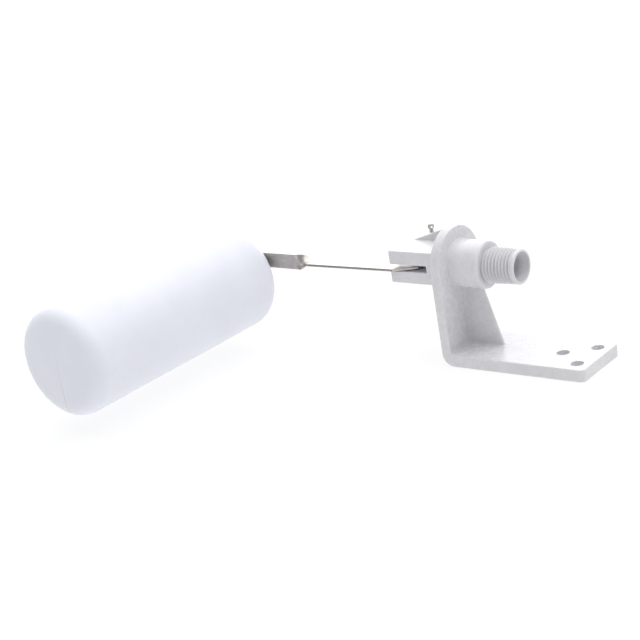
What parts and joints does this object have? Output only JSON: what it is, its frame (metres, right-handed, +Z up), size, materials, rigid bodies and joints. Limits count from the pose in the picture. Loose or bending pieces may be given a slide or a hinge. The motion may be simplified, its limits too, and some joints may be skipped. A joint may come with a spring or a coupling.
{
  "type": "float valve",
  "caption": "Float valve: white moulded angle bracket with a threaded inlet and a clevis, a stainless strip arm on a cotter pin, and a white cylindrical float.",
  "frame": {"origin": "centre of the foot's three screw holes, on the foot's sole", "axes": "+X along the water way towards the inlet nipple, -Y along the float away from the arm, +Z up from the foot to the round head of the bracket"},
  "size_m": [0.1835, 0.1304, 0.052],
  "materials": {
    "body_plastic": "satin moulded white acetal",
    "float_plastic": "satin blow-moulded cool white polyethylene",
    "plunger_plastic": "natural acetal",
    "stainless": "rolled stainless strip and wire",
    "brass": "turned brass",
    "rubber": "black nitrile rubber"
  },
  "bodies": {
    "valve_body": {"valve_body": "body_plastic", "orifice_seat": "brass", "seat_o_ring": "rubber", "pivot_cotter_pin": "stainless", "arm_washer": "stainless"},
    "plunger": {"plunger": "plunger_plastic", "plunger_seal": "rubber"},
    "float_arm": {"float_arm": "stainless", "float_shell": "float_plastic", "float_plug": "float_plastic", "inner_float_screw": "stainless", "outer_float_screw": "stainless", "inner_float_washer": "stainless", "outer_float_washer": "stainless"}
  },
  "joints": [
    {"name": "arm_swing", "type": "hinge", "parent": "valve_body", "child": "float_arm", "pos_m": [-0.0646, 0.0083, 0.03715], "axis": [0, 0, -1], "range_deg": [0, 25]},
    {"name": "plunger_slide", "type": "slide", "parent": "valve_body", "child": "plunger", "axis": [1, 0, 0], "range_m": [-0.0037, 0]}
  ],
  "couplings": [
    {"joint": "plunger_slide", "follows": "arm_swing", "m_per_rad": -0.0083}
  ]
}
